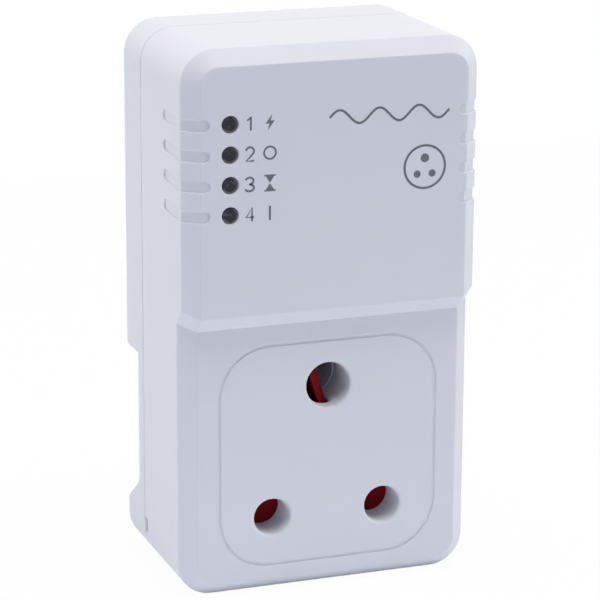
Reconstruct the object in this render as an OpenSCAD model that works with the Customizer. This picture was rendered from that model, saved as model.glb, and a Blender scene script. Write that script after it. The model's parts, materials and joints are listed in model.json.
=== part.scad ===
/* [Case] */
// Width of the case
case_w = 66; // [65:0.5:70]
// Height of the case
case_h = 120; // [118:1:130]
// Depth of the case behind the socket face
case_d = 40.6; // [40:0.2:46]
// How far the status panel stands in front of the socket face
panel_proud = 3.4; // [2.4:0.2:4.4]
// Height of the foot of the slope below the status panel
foot_z = 60; // [58:0.5:64]
// Height of that slope
slope_h = 3.5; // [2.5:0.5:5]
// Radius of the case's corners, seen from the front
corner_r = 7.4; // [6.8:0.1:9]
// Bevel round the front
bevel = 3.3; // [2.4:0.1:3.8]
// Small bevel round the back edge
back_bevel = 0.7; // [0.4:0.1:1.2]
// Wall of both shells
wall = 2.4; // [2.1:0.1:2.7]
// Thickness of the back wall, which carries the pins
back_wall = 3; // [2.6:0.1:3.4]
// Depth of the rear housing, from the parting line to the back
housing_d = 12.7; // [12:0.1:13.6]

/* [Socket] */
// Distance from the line hole to the neutral hole
pin_pitch = 25.4; // [25:0.1:26]
// Height of the earth hole above the other two
earth_rise = 28.58; // [28:0.1:29]
// Height of the line and neutral holes
socket_z = 17; // [16:0.25:18]
// Radius of the line and neutral holes
line_hole_r = 4.05; // [3.8:0.05:4.3]
// Radius of the earth hole
earth_hole_r = 4.95; // [4.7:0.05:5.2]
// Depth of the line and neutral tubes
tube_d = 8; // [7:0.25:9]
// Depth of the whole ring round the earth hole
earth_tube_d = 2.9; // [2.7:0.1:3.2]
// Side of the rounded square line round the socket
outline_w = 49.9; // [48:0.1:51]
// Corner radius of that line
outline_r = 11.6; // [10:0.2:14]
// Height of its centre above the line and neutral holes
outline_lift = 13.9; // [13:0.1:15]

/* [Pins] */
// Radius of the line and neutral pins
line_pin_r = 3.525; // [3.4:0.025:3.65]
// Length of the line and neutral pins outside the case
line_pin_len = 20.6; // [19:0.2:22]
// Radius of the earth pin
earth_pin_r = 4.355; // [4.2:0.025:4.5]
// Length of the earth pin outside the case
earth_pin_len = 28.6; // [27:0.2:29]

/* [Lamps] */
// Distance of the lamps from the side of the case
lamp_in = 9.8; // [9.4:0.1:10.6]
// Distance of the first lamp from the top of the case
lamp_drop = 15.4; // [15:0.1:17]
// Spacing of the lamps and side grooves, as a share of the panel's height below the first lamp
lamp_pitch_share = 0.1557; // [0.145:0.001:0.165]
// Radius of a lamp window, as a share of the lamps' spacing
lamp_hole_share = 0.289; // [0.26:0.005:0.31]

/* [Side grooves] */
// Half height of a side groove, as a share of the grooves' spacing
groove_share = 0.1875; // [0.14:0.005:0.22]
// Depth of a side groove on the panel and at its end
groove_d = 0.45; // [0.3:0.05:0.6]
// Reach of a groove onto the panel, past the bevel
groove_front = 2.1; // [1.6:0.1:3]
// Reach of a groove along the side, from the socket face's plane
groove_side = 11.7; // [9:0.1:16]

/* [Grips] */
// Depth of a finger grip
grip_d = 8.9; // [7.5:0.1:9.2]
// Top of the grips
grip_top = 47; // [45:0.5:50]
// Height at which the grips' lower curve starts
grip_knee = 18.7; // [17:0.1:20]
// Height at which the lower curve meets the back
grip_toe = 9.1; // [8:0.1:10.5]
// Width of the core left between the grips
core_w = 44; // [42:0.5:46]

/* [Shutter] */
// Thickness of the shutter
shutter_t = 2.2; // [1.8:0.1:2.4]
// Distance of the shutter's pivot from the middle of the case
pivot_out = 5.6; // [5.2:0.1:5.8]
// Height of the pivot above the earth hole
pivot_rise = 16.9; // [16.5:0.1:17.5]
// Half width of a wing over a line or neutral hole
wing_r = 4.9; // [4.7:0.05:5]

/* [Hidden] */
$fn = 48;

// Overrun of every cut, and the reach of shapes that are cut off by others
over = 1;
reach = 150;

// Planes from front to back: y is 0 half way through the case, and the front faces -y
front_y = -case_d / 2;
back_y = case_d / 2;
panel_y = front_y - panel_proud;
split_y = back_y - housing_d;
slope_a = atan2(panel_proud, slope_h);
slope_top = foot_z + slope_h;
panel_h = case_h - slope_top;
half_w = case_w / 2;
earth_z = socket_z + earth_rise;
line_at = [pin_pitch / 2, socket_z];
neutral_at = [-pin_pitch / 2, socket_z];
earth_at = [0, earth_z];

// Depths inside are given for the usual depth of the case, and follow the real one by this share
usual_d = 40.6;
depth_share = case_d / usual_d;

// Lamps and side grooves
lamp_pitch = lamp_pitch_share * (panel_h - lamp_drop);
lamp_out = half_w - lamp_in;
lamp_hole_r = lamp_hole_share * lamp_pitch;
groove_r = groove_share * lamp_pitch;

// White colour of the shells, and the other colours of the object
white = [0.93, 0.93, 0.95];
brass = [0.80, 0.66, 0.36];
steel = [0.72, 0.73, 0.75];
dark = [0.10, 0.10, 0.12];

// A 2D shape in x and z, given depth from y0 to y1
module along_y(y0, y1) {
    translate([0, y1, 0]) rotate([90, 0, 0]) linear_extrude(y1 - y0) children();
}

// A 2D shape in y and z, given width from x0 to x1
module along_x(x0, x1) {
    translate([x0, 0, 0]) rotate([90, 0, 90]) linear_extrude(x1 - x0) children();
}

// A round bar along y at a place given in x and z
module bar_y(at, r, y0, y1) {
    translate([at[0], y1, at[1]]) rotate([90, 0, 0]) cylinder(h = y1 - y0, r = r);
}

// A profile of radius and y, turned about a line along y
module turned_y(at) {
    translate([at[0], 0, at[1]]) rotate([-90, 0, 0]) rotate_extrude() children();
}

// A rectangle with round corners, centred, with true arcs
module round_rect(w, h, r) {
    square([w - 2 * r, h], center = true);
    square([w, h - 2 * r], center = true);
    for (sx = [-1, 1], sy = [-1, 1])
        translate([sx * (w / 2 - r), sy * (h / 2 - r)]) circle(r);
}

// A flat strip that follows bends: its centre line, thickness and bend radius
function unit(v) = v / norm(v);
function bent(path, r, steps = 4) = [
    path[0],
    for (i = [1 : len(path) - 2]) let (
        start = path[i] + unit(path[i - 1] - path[i]) * r,
        end = path[i] + unit(path[i + 1] - path[i]) * r
    ) for (k = [0 : steps]) let (s = k / steps)
        (1 - s) * (1 - s) * start + 2 * s * (1 - s) * path[i] + s * s * end,
    path[len(path) - 1]
];
function heading(path, i) = unit(path[min(i + 1, len(path) - 1)] - path[max(i - 1, 0)]);
function beside(path, d) = [
    for (i = [0 : len(path) - 1]) let (u = heading(path, i)) path[i] + d * [-u[1], u[0]]
];
module strip(path, t, r) {
    line = bent(path, r);
    far = beside(line, -t / 2);
    polygon(concat(beside(line, t / 2), [for (i = [len(far) - 1 : -1 : 0]) far[i]]));
}

// The case outline as a solid block with its front bevel, drawn in by an inset on all sides. With a
// spread, the bevel runs on outwards past the sides
function inner_bevel(inset) = bevel - inset * (2 - sqrt(2));
module case_block(front, back, inset, b, spread = 0) {
    w = half_w - inset;
    r = corner_r - inset;
    low = inset - spread;
    high = case_h - inset + spread;
    edge_y = front + b + spread;
    side = [[w - b, front], [w + spread, edge_y], [w + spread, back]];
    for (sx = [-1, 1], z = [inset + r, case_h - inset - r])
        turned_y([sx * (w - r), z])
            polygon([[0, front], [r - b, front], [r + spread, edge_y], [r + spread, back], [0, back]]);
    translate([0, 0, inset + r]) linear_extrude(case_h - 2 * inset - 2 * r)
        polygon(concat(side, [for (i = [2 : -1 : 0]) [-side[i][0], side[i][1]]]));
    along_x(-(w - r), w - r)
        polygon([[front, inset + b], [edge_y, low], [back, low], [back, high], [edge_y, high],
            [front, case_h - inset - b]]);
}

// The same outline seen from the back, with the small back bevel
module back_block(front, back, inset, b) {
    mirror([0, 1, 0]) case_block(-back, -front, inset, b);
}

// Everything behind the slope below the panel: outside, a bevel a hair wider than the front one is
// carried along it, and inside it is flat
slope_wall_share = 1.2;
slope_ease = 0.05;
slope_spread = 4;
face_spread = 2;
module behind_slope(inset) {
    far = half_w + slope_spread;
    near = half_w - bevel - slope_ease;
    far_y = far - near;
    translate([0, panel_y, slope_top]) rotate([slope_a, 0, 0]) translate([0, 0, -reach])
        linear_extrude(2 * reach) if (inset > 0)
            translate([-reach, inset * slope_wall_share]) square(2 * reach);
        else
            polygon([[-near, 0], [near, 0], [far, far_y], [far, reach], [-far, reach], [-far, far_y]]);
}

// The front cover's form: the panel's block, cut back to the socket face below the slope
module cover_form(inset, back) {
    b = inner_bevel(inset);
    intersection() {
        case_block(panel_y + inset, back, inset, b);
        union() {
            case_block(front_y + inset, back + over, inset, b, face_spread);
            behind_slope(inset);
        }
    }
}

// The case outline in x and z, for rings along the parting line
module outline(inset) {
    translate([0, case_h / 2]) round_rect(case_w - 2 * inset, case_h - 2 * inset, corner_r - inset);
}

// Fasteners: one pan-head screw, driven towards -y from the back
case_screw_r = 1.45;
board_screw_r = 1;
head_r_share = 1.9;
head_h_share = 1.3;
screw_clear = 0.05;
module screw(at, r, tip_y, seat_y, recess = true) {
    head_r = r * head_r_share;
    head_h = r * head_h_share;
    point_h = r;
    slot_w = r * 0.45;
    difference() {
        turned_y(at) polygon([[0, tip_y], [r / 3, tip_y], [r, tip_y + point_h], [r, seat_y],
            [head_r, seat_y], [head_r, seat_y + head_h / 2], [head_r * 0.8, seat_y + head_h],
            [0, seat_y + head_h]]);
        if (recess) for (a = [0, 90])
            translate([at[0], seat_y + head_h, at[1]]) rotate([0, a, 0])
                cube([head_r * 1.1, head_h, slot_w], center = true);
    }
}

// Case screws: their places, posts in the cover and wells in the housing
post_r = 3.2;
upper_post = [half_w - corner_r, case_h - corner_r];
lower_post_share = 0.5;
lower_post_z = 6.6;
lower_post = [lower_post_share * half_w, lower_post_z];
post_places = [for (s = [-1, 1]) each
    [[s * upper_post[0], upper_post[1]], [s * lower_post[0], lower_post[1]]]];
well_r = 3.3;
well_wall = 1.1;
well_floor = 3;
screw_reach = 12;

// Shutter: a plate hung on a post above and to the left of the earth hole
collar_wall = 1.4;
shutter_gap = 0.3;
tube_end_y = front_y + tube_d * depth_share;
shutter_y = tube_end_y + shutter_gap;
shutter_back_y = shutter_y + shutter_t;
pivot_at = [-pivot_out, earth_z + pivot_rise];
pivot_r = 2;
pivot_clear = 0.06;
hub_r = 4.4;
fin_reach = 2.6;
fin_short = 0.6;
fin_fall = 1;
fin_root = 0.6;
ring_end_y = front_y + wall + (earth_tube_d - wall) * depth_share;
fin_y = ring_end_y + shutter_gap;
fin_lean = atan2(pivot_out, pivot_rise);
earth_arm = norm(pivot_at - earth_at);
stem_w = 7.5;
yoke_low = 9;
yoke_high = 20;
stem_len = (pivot_at[1] - socket_z - yoke_high + over) / cos(fin_lean);
stub_r = 1;
stub_h = 1.4;
washer_t = 0.6;
washer_r = 3.4;
washer_gap = 0.25;
pivot_end_y = shutter_back_y + washer_gap + washer_t + 0.4;

// Shutter spring and the two stubs it bears on
spring_wire = 0.35;
spring_coil = 3;
spring_turns = 3.25;
spring_rise = 0.95;
spring_leg = 7;
spring_y = shutter_y - shutter_gap - spring_wire;
spring_end_y = spring_y - spring_rise * spring_turns;
stub_at = pivot_at + [spring_wire + stub_r - spring_coil, stub_r - spring_leg];
anchor_at = pivot_at + [spring_leg - stub_r, spring_coil - spring_wire - stub_r];

// Contact carrier: a plate behind the shutter with a tower round each contact, the earth one set back
carrier_gap = 0.6;
carrier_t = 2;
carrier_y = shutter_back_y + carrier_gap;
carrier_back_y = carrier_y + carrier_t;
carrier_side = 2;
carrier_edge = 1.6;
carrier_low = wall + carrier_edge;
carrier_drop = 8;
carrier_high = foot_z - carrier_drop;
carrier_post_r = 2.8;
carrier_half = half_w - wall - carrier_side;
carrier_in = 3.6;
carrier_up = 4;
carrier_down = 6;
carrier_places = [for (s = [-1, 1], z = [carrier_low + carrier_up, carrier_high - carrier_down])
    [s * (carrier_half - carrier_in), z]];
tower_wall = 1.4;
usual_recess = 7;
earth_recess = usual_recess * depth_share;
sleeve_t = 0.8;
sleeve_clear = 0.025;
sleeve_gap = 0.35;
tip_room = 0.3;
strap_t = 0.8;
flange_over = 1.6;
rivet_r = 1.25;
rivet_clear = 0.05;

// Pins: a tail inside, a flange against the back wall, a collar through it and the free pin
flange_t = 2;
flange_rim = 1.9;
collar_r = 0.4;
pin_clear = 0.1;
tail_r = 2.5;
tip_r = 1.8;
inner_back_y = back_y - back_wall;
flange_y = inner_back_y - flange_t;
tail_len = 5.1;
tail_y = flange_y - tail_len * depth_share;
earth_end_y = tail_y - 2 * strap_t;
line_end_y = earth_end_y - (earth_pin_len - line_pin_len) * depth_share;
retainer_t = 2.5;
retainer_r = 5.9;
retainer_bar = 5.6;
retainer_low = 4;
retainer_high = 17;
retainer_screws_z = [socket_z + retainer_low, socket_z + retainer_high];

// Circuit board and lamps
lens_t = 0.9;
lens_w = 6;
lamp_gap = 0.2;
lamp_h = 5.2;
lamp_share = 0.234;
lamp_r = lamp_share * lamp_pitch;
lamp_rim = lamp_r / 4;
board_t = 1.6;
board_side = 3.6;
board_y = panel_y + wall + lens_t + lamp_gap + lamp_h;
board_back_y = board_y + board_t;
board_lift = 5;
board_drop = 10;
board_low = slope_top + board_lift;
board_high = case_h - board_drop;
board_h = board_high - board_low;
board_w = case_w - 2 * (wall + board_side);
board_post_share = 0.085;
board_post_in = board_post_share * board_h;
board_hole_in = 4;
board_post_r = 2.4;
board_places = [for (s = [-1, 1]) [s * (board_w / 2 - board_hole_in), board_low + board_post_in],
    [0, board_high - board_post_in]];
// Sizes of the parts on the board are given for its usual width and height
usual_board_w = 54;
usual_board_h = 41.5;
fit_share = min(board_w / usual_board_w, board_h / usual_board_h);
function on_board(across_share, up_share) = [across_share * board_w / 2, board_low + up_share * board_h];
lamp_places = [for (i = [0 : 3]) [-lamp_out, case_h - lamp_drop - i * lamp_pitch]];

// Grips: side view of the recess in y and z, grown by the wall for the inside of the housing
ledge_r = 1.6;
floor_y = back_y - grip_d;
function blend(t) = (1 - cos(180 * t)) / 2;
function grip_profile(grow) = [
    [back_y + over, grip_top + ledge_r],
    for (a = [0 : -15 : -90]) [back_y - ledge_r + ledge_r * cos(a), grip_top + ledge_r + grow
        + ledge_r * sin(a)],
    [floor_y - grow, grip_top + grow],
    for (k = [0 : 12]) let (t = k / 12)
        [floor_y - grow + grip_d * blend(t), grip_knee - grow + (grip_toe - grip_knee) * t],
    [back_y + over, grip_toe - grow]
];
module grips(grow) {
    for (s = [-1, 1])
        along_x(s > 0 ? core_w / 2 - grow : -half_w - over, s > 0 ? half_w + over : grow - core_w / 2)
            polygon(grip_profile(grow));
}

// One groove on the right, wrapping from the panel over the bevel onto the side, where it starts shallow
groove_lip = 0.2;
groove_sink = 0.5;
module side_groove(z) {
    tip_x = half_w - bevel - groove_front + groove_r;
    tip_y = front_y + groove_side - groove_r;
    turn_y = panel_y + bevel + groove_sink;
    translate([0, 0, z - groove_r]) linear_extrude(2 * groove_r)
        polygon([[tip_x, panel_y - over], [half_w + over, panel_y - over], [half_w + over, tip_y],
            [half_w - groove_d, tip_y], [half_w - groove_d, tip_y - groove_r], [half_w - groove_lip, turn_y],
            [half_w - groove_lip - turn_y + panel_y + groove_d, panel_y + groove_d],
            [tip_x, panel_y + groove_d]]);
    bar_y([tip_x, z], groove_r, panel_y - over, panel_y + groove_d);
    translate([half_w - groove_d, tip_y, z]) rotate([0, 90, 0]) cylinder(h = groove_d + over, r = groove_r);
}

// A hole through the front with a softened rim
rim = 0.45;
module rimmed_hole(at, r, y, end_y) {
    turned_y(at) polygon([[0, y - over], [r + rim + over, y - over], [r, y + rim], [r, end_y + over],
        [0, end_y + over]]);
}

// Front cover
seam_w = 0.3;
seam_d = 0.3;
notch_z = 8.3;
notch_h = 3.5;
notch_w = 1.9;
notch_d = 0.6;
outline_line = 0.55;
outline_d = 0.35;
guard_gap = 0.5;
guard_ease = 0.2;
guard_end_y = carrier_y - tip_room;
rib_t = 1.2;
lip_t = 1.1;
lip_h = 2;
lip_clear = 0.15;
module front_cover() {
    color(white) difference() {
        union() {
            difference() {
                cover_form(0, split_y);
                cover_form(wall, split_y + over);
            }
            for (at = post_places)
                bar_y(at, post_r, (at[1] > foot_z ? panel_y : front_y) + wall / 2, split_y);
            for (s = [-1, 1]) intersection() {
                cover_form(wall / 2, split_y);
                along_y(panel_y, split_y - lip_h - over) {
                    translate([s * upper_post[0] + (s > 0 ? 0 : -corner_r), upper_post[1] - rib_t / 2])
                        square([corner_r, rib_t]);
                    translate([s * upper_post[0] - rib_t / 2, upper_post[1]]) square([rib_t, corner_r]);
                    translate([s * lower_post[0] - rib_t / 2, 0]) square([rib_t, lower_post[1]]);
                }
            }
            for (at = [line_at, neutral_at])
                bar_y(at, line_hole_r + collar_wall, front_y + wall / 2, tube_end_y);
            bar_y(earth_at, earth_hole_r + collar_wall, front_y + wall / 2, ring_end_y);
            along_y(front_y + wall / 2, guard_end_y) intersection() {
                translate(earth_at) circle(earth_hole_r + collar_wall - guard_ease);
                translate(pivot_at) rotate(fin_lean) translate([guard_gap - fin_short, -reach])
                    square([reach, reach]);
            }
            for (at = carrier_places) bar_y(at, carrier_post_r, front_y + wall / 2, carrier_y);
            for (at = board_places) bar_y(at, board_post_r, panel_y + wall / 2, board_y);
            intersection() {
                cover_form(wall / 2, split_y);
                bar_y(pivot_at, pivot_r, panel_y, pivot_end_y);
            }
            bar_y(anchor_at, stub_r, panel_y + wall / 2, spring_end_y + spring_wire + shutter_gap);
        }
        for (at = [line_at, neutral_at]) rimmed_hole(at, line_hole_r, front_y, tube_end_y);
        rimmed_hole(earth_at, earth_hole_r, front_y, ring_end_y);
        bar_y(earth_at, earth_hole_r + guard_ease, ring_end_y, guard_end_y + over);
        for (at = lamp_places) bar_y(at, lamp_hole_r, panel_y - over, panel_y + wall + over);
        for (at = lamp_places) side_groove(at[1]);
        mirror([1, 0, 0]) for (at = lamp_places) side_groove(at[1]);
        along_y(front_y - over, front_y + outline_d) translate([0, socket_z + outline_lift]) difference() {
            round_rect(outline_w, outline_w, outline_r);
            round_rect(outline_w - 2 * outline_line, outline_w - 2 * outline_line, outline_r - outline_line);
        }
        along_y(split_y - seam_w, split_y + over) difference() {
            outline(-over);
            outline(seam_d);
        }
        for (s = [-1, 1]) translate([s * half_w, split_y - notch_w / 2, notch_z])
            cube([2 * notch_d, notch_w + over, notch_h], center = true);
        for (at = post_places) bar_y(at, case_screw_r + screw_clear, split_y - screw_reach, split_y + over);
        for (at = carrier_places) bar_y(at, board_screw_r + screw_clear, front_y + wall, carrier_y + over);
        for (at = board_places) bar_y(at, board_screw_r + screw_clear, panel_y + wall, board_y + over);
    }
}

// Rear housing
module rear_housing() {
    color(white) difference() {
        union() {
            difference() {
                back_block(split_y, back_y, 0, back_bevel);
                difference() {
                    back_block(split_y - over, inner_back_y, wall, back_bevel);
                    grips(wall);
                }
            }
            along_y(split_y - lip_h, split_y) difference() {
                outline(wall + lip_clear);
                outline(wall + lip_clear + lip_t);
                for (s = [-1, 1]) translate([s * lower_post[0] - post_r - over, 0])
                    square([2 * (post_r + over), lower_post[1]]);
            }
            along_y(split_y, split_y + lip_h) difference() {
                outline(wall / 2);
                outline(wall + lip_clear + lip_t);
            }
            for (at = post_places) bar_y(at, well_r + well_wall, split_y, inner_back_y + over);
            for (z = retainer_screws_z) bar_y([0, z], post_r, flange_y, inner_back_y + over);
        }
        grips(0);
        for (at = post_places) {
            bar_y(at, case_screw_r + 3 * screw_clear, split_y - over, back_y);
            bar_y(at, well_r, split_y + well_floor, back_y + over);
        }
        for (at = [line_at, neutral_at])
            bar_y(at, line_pin_r + collar_r + pin_clear, flange_y, back_y + over);
        bar_y(earth_at, earth_pin_r + collar_r + pin_clear, flange_y, back_y + over);
        for (z = retainer_screws_z)
            bar_y([0, z], board_screw_r + screw_clear, flange_y - over, back_y - wall / 2);
    }
}
module case_screws() {
    color(steel) for (at = post_places)
        screw(at, case_screw_r, split_y + well_floor - screw_reach, split_y + well_floor);
}

// Pins
module pin(at, r, len) {
    wide = r + collar_r;
    end_y = back_y + len;
    color(brass) turned_y(at) polygon([
        [0, tail_y - 2 * strap_t], [rivet_r, tail_y - 2 * strap_t], [rivet_r, tail_y], [tail_r, tail_y],
        [tail_r, flange_y], [r + flange_rim, flange_y], [r + flange_rim, inner_back_y], [wide, inner_back_y],
        [wide, back_y], [r, back_y], [r, end_y - tip_r],
        for (a = [15 : 15 : 75]) [r - tip_r + tip_r * cos(a), end_y - tip_r + tip_r * sin(a)],
        [r - tip_r, end_y], [0, end_y]
    ]);
}
module pin_retainer() {
    color(dark) difference() {
        along_y(flange_y - retainer_t, flange_y) difference() {
            union() {
                for (at = [line_at, neutral_at, earth_at]) translate(at) circle(retainer_r);
                translate([-pin_pitch / 2, socket_z - retainer_bar]) square([pin_pitch, 2 * retainer_bar]);
                translate([-retainer_bar, socket_z]) square([2 * retainer_bar, earth_rise]);
            }
            for (at = [line_at, neutral_at, earth_at]) translate(at) circle(tail_r + pin_clear);
            for (z = retainer_screws_z) translate([0, z]) circle(board_screw_r + 3 * screw_clear);
        }
    }
}
module retainer_screws() {
    color(steel) mirror([0, 1, 0]) for (z = retainer_screws_z)
        screw([0, z], board_screw_r, wall - back_y, retainer_t - flange_y);
}

// Contact carrier
module carrier_outline() {
    translate([0, (carrier_low + carrier_high) / 2])
        round_rect(2 * carrier_half, carrier_high - carrier_low, corner_r - wall);
}
module tower(at, r, end_y) {
    bar_y(at, r + sleeve_clear + sleeve_t + sleeve_gap + tower_wall, carrier_y, end_y);
}
module tower_bore(at, r, hole_r, recess, end_y) {
    bar_y(at, hole_r, carrier_y - over, end_y);
    bar_y(at, r + sleeve_clear + sleeve_t + sleeve_gap, carrier_back_y + recess, end_y + over);
}
module contact_carrier() {
    color([0.86, 0.86, 0.88]) difference() {
        union() {
            along_y(carrier_y, carrier_back_y) carrier_outline();
            for (at = [line_at, neutral_at]) tower(at, line_pin_r, line_end_y);
            tower(earth_at, earth_pin_r, earth_end_y);
        }
        for (at = [line_at, neutral_at]) tower_bore(at, line_pin_r, line_hole_r, 0, line_end_y);
        tower_bore(earth_at, earth_pin_r, earth_hole_r, earth_recess, earth_end_y);
        for (s = [-1, 1]) bar_y([s * lower_post[0], lower_post[1]], post_r + 2 * tip_room, carrier_y - over,
            carrier_back_y + over);
        for (at = carrier_places) bar_y(at, board_screw_r + 3 * screw_clear, carrier_y - over,
            carrier_back_y + over);
    }
}
module carrier_screws() {
    color(steel) for (at = carrier_places)
        screw(at, board_screw_r, carrier_y - case_screw_r * 4, carrier_back_y);
}

// Contacts: a sleeve with a flared mouth and a slot, and a flange on the tower's end
slot_w = 2;
flare = 0.3;
module contact(at, r, recess, end_y, slot_a, spigot) {
    inner = r + sleeve_clear;
    outer = inner + sleeve_t;
    mouth_y = carrier_back_y + recess + tip_room;
    color(brass) difference() {
        turned_y(at) polygon(concat(
            [[inner + flare, mouth_y], [outer + flare, mouth_y], [outer, mouth_y + 2 * flare],
                [outer, end_y], [outer + flange_over, end_y], [outer + flange_over, end_y + strap_t]],
            spigot ? [[rivet_r, end_y + strap_t], [rivet_r, end_y + 2 * strap_t + tip_room],
                [0, end_y + 2 * strap_t + tip_room], [0, end_y]]
                : [[rivet_r + rivet_clear, end_y + strap_t], [rivet_r + rivet_clear, end_y]],
            [[inner, end_y], [inner, mouth_y + 2 * flare]]));
        translate([at[0], 0, at[1]]) rotate([0, slot_a, 0])
            translate([-slot_w / 2, mouth_y - over, 0]) cube([slot_w, end_y - mouth_y - slot_w, reach / 4]);
    }
}

// Shutter: its outline at rest, and the slanted fin in the earth hole, whose sloped edge a pin pushes aside
module shutter_outline() {
    translate(pivot_at) {
        circle(hub_r);
        rotate(fin_lean) translate([-fin_short - stem_w, -stem_len]) square([stem_w, stem_len]);
    }
    translate([neutral_at[0] - wing_r, socket_z + yoke_low])
        square([pin_pitch + 2 * wing_r, yoke_high - yoke_low]);
    for (at = [line_at, neutral_at]) translate(at) {
        circle(wing_r);
        translate([-wing_r, 0]) square([2 * wing_r, yoke_low + over]);
    }
}
module fin() {
    translate([pivot_at[0], 0, pivot_at[1]]) rotate([0, -fin_lean, 0])
        translate([0, 0, -earth_arm - earth_hole_r - over]) linear_extrude(2 * (earth_hole_r + over))
            polygon([[-fin_reach, fin_y], [-fin_short, fin_y + fin_fall], [-fin_short, shutter_y + over],
                [-fin_reach - fin_root, shutter_y + over]]);
}
module shutter() {
    color([0.45, 0.02, 0.05]) difference() {
        union() {
            along_y(shutter_y, shutter_back_y) shutter_outline();
            fin();
            bar_y(stub_at, stub_r, shutter_y - stub_h, shutter_y + over);
        }
        bar_y(pivot_at, pivot_r + pivot_clear, shutter_y - over, shutter_back_y + over);
    }
}
module shutter_washer() {
    y0 = shutter_back_y + washer_gap;
    color(steel) difference() {
        bar_y(pivot_at, washer_r, y0, y0 + washer_t);
        bar_y(pivot_at, pivot_r + pivot_clear, y0 - over, y0 + washer_t + over);
    }
}

// Torsion spring: one tube that winds round the pivot post, from a leg on the shutter's stub up to a
// leg on the cover's stub
ring_sides = 6;
rings_per_turn = 12;
function coil_point(k) = let (a = 180 - 360 * k / rings_per_turn) [
    pivot_at[0] + spring_coil * cos(a), spring_y - spring_rise * k / rings_per_turn,
    pivot_at[1] + spring_coil * sin(a)];
coil_count = spring_turns * rings_per_turn;
spring_path = concat(
    [coil_point(0) - [0, 0, spring_leg]],
    [for (k = [0 : coil_count]) coil_point(k)],
    [coil_point(coil_count) + [spring_leg, 0, 0]]);
function frame_out(d) = unit(cross(d, [0, 1, 0]));
module tube(path, r) {
    count = len(path);
    points = [for (i = [0 : count - 1]) let (
        d = unit(path[min(i + 1, count - 1)] - path[max(i - 1, 0)]),
        u = frame_out(d), v = cross(d, u)
    ) for (j = [0 : ring_sides - 1]) let (a = 360 * j / ring_sides) path[i] + r * (cos(a) * u + sin(a) * v)];
    faces = concat(
        [[for (j = [0 : ring_sides - 1]) j]],
        [for (i = [0 : count - 2], j = [0 : ring_sides - 1], half = [0, 1]) let (
            a = i * ring_sides + j, b = i * ring_sides + (j + 1) % ring_sides,
            c = b + ring_sides, e = a + ring_sides
        ) half == 0 ? [a, e, c] : [a, c, b]],
        [[for (j = [ring_sides - 1 : -1 : 0]) (count - 1) * ring_sides + j]]);
    polyhedron(points, faces);
}
module shutter_spring() {
    color(steel) tube(spring_path, spring_wire);
}

// Circuit board
lead_r = fit_share * 0.3;
module circuit_board() {
    color([0.10, 0.33, 0.18]) along_y(board_y, board_back_y) difference() {
        translate([-board_w / 2, board_low]) square([board_w, board_h]);
        for (s = [-1, 1]) translate([s * upper_post[0], upper_post[1]]) circle(post_r + over);
        for (at = board_places) translate(at) circle(board_screw_r + 3 * screw_clear);
    }
}
module board_screws() {
    color(steel) for (at = board_places)
        screw(at, board_screw_r, board_y - case_screw_r * 3, board_back_y);
}

// Lamp lens: one dark moulding with a domed stud in each window, and the four lamps behind it
lens_clear = 0.08;
lens_sunk = 0.3;
lens_dome = 0.5;
module lamp_lens() {
    lens_y = panel_y + wall;
    low = lamp_places[3][1] - lens_w / 2;
    stud_r = lamp_hole_r - lens_clear;
    color(dark) {
        along_y(lens_y, lens_y + lens_t) translate([-lamp_out, (lamp_places[0][1] + lamp_places[3][1]) / 2])
            round_rect(lens_w, lamp_places[0][1] - low + lens_w / 2, lens_w / 4);
        for (at = lamp_places) turned_y(at) polygon([[0, lens_y + lens_t / 2], [stud_r, lens_y + lens_t / 2],
            [stud_r, panel_y + lens_sunk + lens_dome],
            for (a = [15 : 15 : 75]) [stud_r * cos(a), panel_y + lens_sunk + lens_dome * (1 - sin(a))],
            [0, panel_y + lens_sunk]]);
    }
}
module lamp(i, tint) {
    tip_y = board_y - lamp_h;
    color(tint) {
        turned_y(lamp_places[i]) polygon([[0, board_y], [lamp_r + lamp_rim, board_y],
            [lamp_r + lamp_rim, board_y - over], [lamp_r, board_y - over], [lamp_r, tip_y + lamp_r],
            for (a = [15 : 15 : 75]) [lamp_r * cos(a), tip_y + lamp_r * (1 - sin(a))], [0, tip_y]]);
    }
}

// Relay: measured from the board's back, with the armature hinged on the yoke's round edge
relay_across_share = 0.54;
relay_up_share = 0.58;
relay_at = on_board(relay_across_share, relay_up_share);
relay_w = fit_share * 15.4;
relay_h = fit_share * 19.2;
relay_d = fit_share * 15.6;
relay_skin = fit_share * 0.8;
relay_y = board_back_y;
base_t = fit_share * 1.8;
yoke_t = fit_share * 1.2;
yoke_w = fit_share * 11;
yoke_up = fit_share * 6.8;
yoke_z = relay_at[1] + yoke_up;
yoke_len = fit_share * 11.9;
yoke_top_y = relay_y + yoke_len;
core_r = fit_share * 2.4;
core_down = fit_share * 7.2;
core_z = yoke_z - core_down;
coil_r = fit_share * 5.1;
core_len = fit_share * 11.6;
core_end_y = relay_y + core_len;
armature_t = fit_share * 1;
armature_gap = fit_share * 1;
button_r = fit_share * 1;
button_up = fit_share * 2.2;
button_z = relay_at[1] - relay_h / 2 + button_up;
leaf_t = fit_share * 0.2;
leaf_out = fit_share * 1.1;
bobbin_t = fit_share * 0.7;
heel = fit_share * 1.5;
module relay_box(y0, y1, inset) {
    along_y(y0, y1) translate(relay_at)
        round_rect(relay_w - 2 * inset, relay_h - 2 * inset, over - inset / 2);
}
module relay_base() {
    color([0.12, 0.12, 0.14]) relay_box(relay_y + tip_room, relay_y + base_t, relay_skin + screw_clear);
}
module relay_cover() {
    color([0.15, 0.35, 0.62]) difference() {
        relay_box(relay_y + tip_room, relay_y + relay_d, 0);
        relay_box(relay_y - over, relay_y + relay_d - relay_skin, relay_skin);
    }
}
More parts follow.
